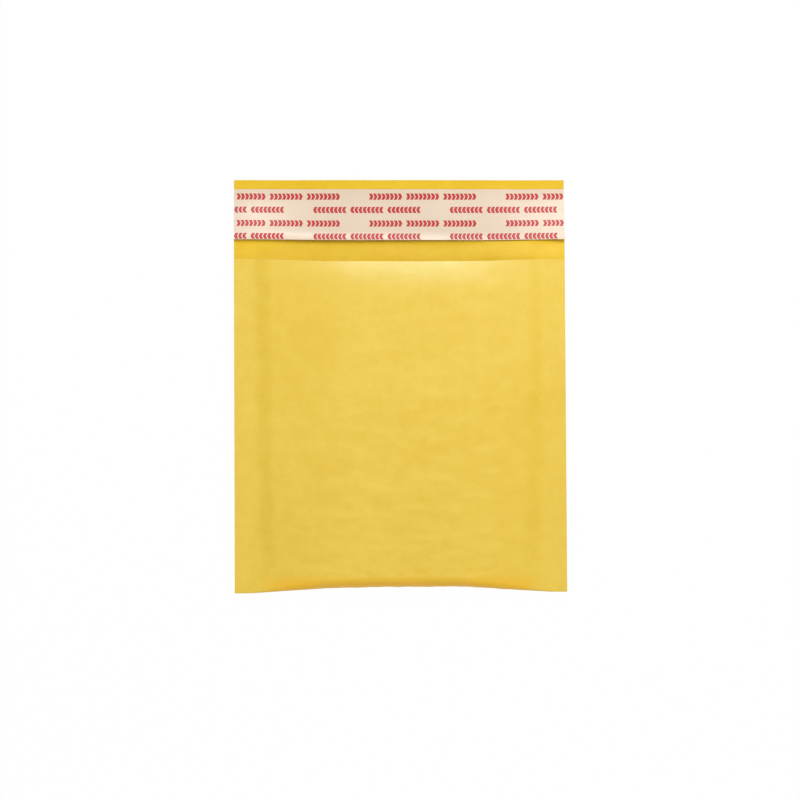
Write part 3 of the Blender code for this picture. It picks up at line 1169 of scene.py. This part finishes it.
# %% Print the four rows
mark_level = -PAPER / 2 - LINER_ABOVE - LINER_SHEET - INK_GAP
print_rows = []
for number, (down, shift) in enumerate(zip(ROWS_DOWN, ROW_SHIFT)):
    values = {
        "Row": down - (FLAP_START + LINER_FAR),
        "First group": shift,
        "Turn": math.pi * (number % 2),
        "Level": mark_level,
        "Ink": ink_skin,
    }
    print_rows.append(printed_row.shape(flat_chevron(), f"row {number}", values))
mark_faces = MARK_SIDES + 2
print("marks in each row:", [len(row.data.polygons) // mark_faces for row in print_rows])

# %% Join the rows and fold them with the flap
joined = bmesh.new()
for row in print_rows:
    joined.from_mesh(row.data)
    bpy.data.objects.remove(row, do_unlink=True)
flat_marks = mesh_of(joined, "flat marks")
flat_marks.materials.append(ink_skin)
lift_edges(flat_marks)
marks_blank = add_object("marks blank", flat_marks)
marks = fold_paper.shape(marks_blank, "peel_marks", one_skin(ink_skin))
finish_piece(marks)

# %% [markdown]
# ## Floor and light
#
# The floor is white and lit like the envelope. The camera sees it almost at full white, so only
# a trace of the envelope's shadow is left.
#
# The key lamp stands beyond the flap, so the waves and the liner's lower edge throw their shadows
# towards the bottom fold. A small lamp at the right, a wide one overhead and a low warm one near
# the bottom fold soften them.

# %% The floor
FLOOR_SIZE = 4.0
FLOOR_Z = -0.2 * MM
FLOOR_GLOW = 0.985
FLOOR_ROUGHNESS = 0.9
FLOOR_WHITE = (0.9, 0.9, 0.9, 1.0)
PURE_WHITE = (1.0, 1.0, 1.0, 1.0)


def seen_directly(g):
    """1 for rays from the camera, also through clear film, and 0 for light on the object."""
    rays = g.node("ShaderNodeLightPath")
    from_camera = Wire(g, rays.outputs["Is Camera Ray"])
    through = Wire(g, rays.outputs["Is Transmission Ray"])
    return g.unit(from_camera + through)


def white_floor():
    """A plain white material that the camera sees almost at full white."""
    material = bpy.data.materials.new("White floor")
    material.use_nodes = True
    g = Graph(material.node_tree)
    shader = g.tree.nodes["Principled BSDF"]
    shader.inputs["Base Color"].default_value = FLOOR_WHITE
    shader.inputs["Roughness"].default_value = FLOOR_ROUGHNESS
    lit = Wire(g, shader.outputs[0])
    glow = g.wire("ShaderNodeEmission", None, {"Color": PURE_WHITE, "Strength": 1.0})
    share = seen_directly(g) * FLOOR_GLOW
    mixed = g.wire("ShaderNodeMixShader", None, {0: share, 1: lit, 2: glow})
    g.tree.links.new(mixed.socket, g.tree.nodes["Material Output"].inputs["Surface"])
    return material


bpy.ops.mesh.primitive_plane_add(size=FLOOR_SIZE, location=(0.0, 0.0, FLOOR_Z))
floor = bpy.context.object
floor.name = "floor"
floor.data.materials.append(white_floor())
print(f"floor {FLOOR_SIZE:.0f} m wide, {-FLOOR_Z / MM:.1f} mm below the envelope")

# %% Light
WORLD_LEVEL = 0.35


def soft_lamp(name, size, power, place, tint=(1.0, 1.0, 1.0), mirrored=True):
    """A square area lamp of a given power that faces the envelope."""
    data = bpy.data.lights.new(name, "AREA")
    data.shape = "SQUARE"
    data.size = size
    data.energy = power
    data.color = tint
    lamp = add_object(name, data)
    lamp.location = place
    lamp.rotation_euler = (-Vector(place)).to_track_quat("-Z", "Y").to_euler()
    lamp.visible_glossy = mirrored


def white_surroundings(strength):
    """A world that lights the envelope softly and that the camera sees as white."""
    world = bpy.data.worlds.new("soft white")
    world.use_nodes = True
    g = Graph(world.node_tree)
    background = g.tree.nodes["Background"]
    level = seen_directly(g) * (1.0 - strength) + strength
    g.tree.links.new(level.socket, background.inputs["Strength"])
    background.inputs["Color"].default_value = PURE_WHITE
    bpy.context.scene.world = world


soft_lamp("key above the flap", 0.42, 7.8, (0.07, 0.72, 0.95))
soft_lamp("small lamp at the right", 0.25, 0.63, (0.26, 0.30, 0.50))
soft_lamp("overhead", 1.6, 2.3, (0.0, -0.1, 1.9))
soft_lamp("low warm fill", 0.8, 2.8, (0.0, -0.95, 0.45), (1.0, 0.88, 0.66), mirrored=False)
white_surroundings(WORLD_LEVEL)

# %% [markdown]
# ## Camera
#
# It looks straight down from well above, tipped and turned so little that only the outline's
# slight taper and lean show it. The lens is worked out so that the envelope is as wide in the
# frame as in the photograph, and the camera aims at a point a little off the envelope's middle.

# %% The camera
PHOTO_PIXELS = 800
ENVELOPE_PIXELS = 331.5
CENTRE_PIXEL = (400.0, 385.5)
CAMERA_DISTANCE = 1.2
TIP = math.radians(2.0)
ROLL = math.radians(0.3)

metres_across = WIDTH * PHOTO_PIXELS / ENVELOPE_PIXELS
per_pixel = metres_across / PHOTO_PIXELS
half_frame = PHOTO_PIXELS / 2
aim = Vector(
    (
        (half_frame - CENTRE_PIXEL[0]) * per_pixel,
        (CENTRE_PIXEL[1] - half_frame) * per_pixel,
        SEAM_LIFT,
    )
)
camera_data = bpy.data.cameras.new("camera")
camera_data.sensor_width = 36.0
camera_data.lens = camera_data.sensor_width * CAMERA_DISTANCE / metres_across
camera = add_object("camera", camera_data)
offset = Vector((0.0, -math.sin(TIP), math.cos(TIP))) * CAMERA_DISTANCE
camera.location = aim + offset
level_view = (-offset).to_track_quat("-Z", "Y")
camera.rotation_euler = (level_view @ Quaternion((0.0, 0.0, 1.0), -ROLL)).to_euler()
bpy.context.scene.camera = camera
bpy.context.scene.view_settings.view_transform = "Standard"
print(f"lens {camera_data.lens:.0f} mm, {metres_across / MM:.0f} mm across the frame")
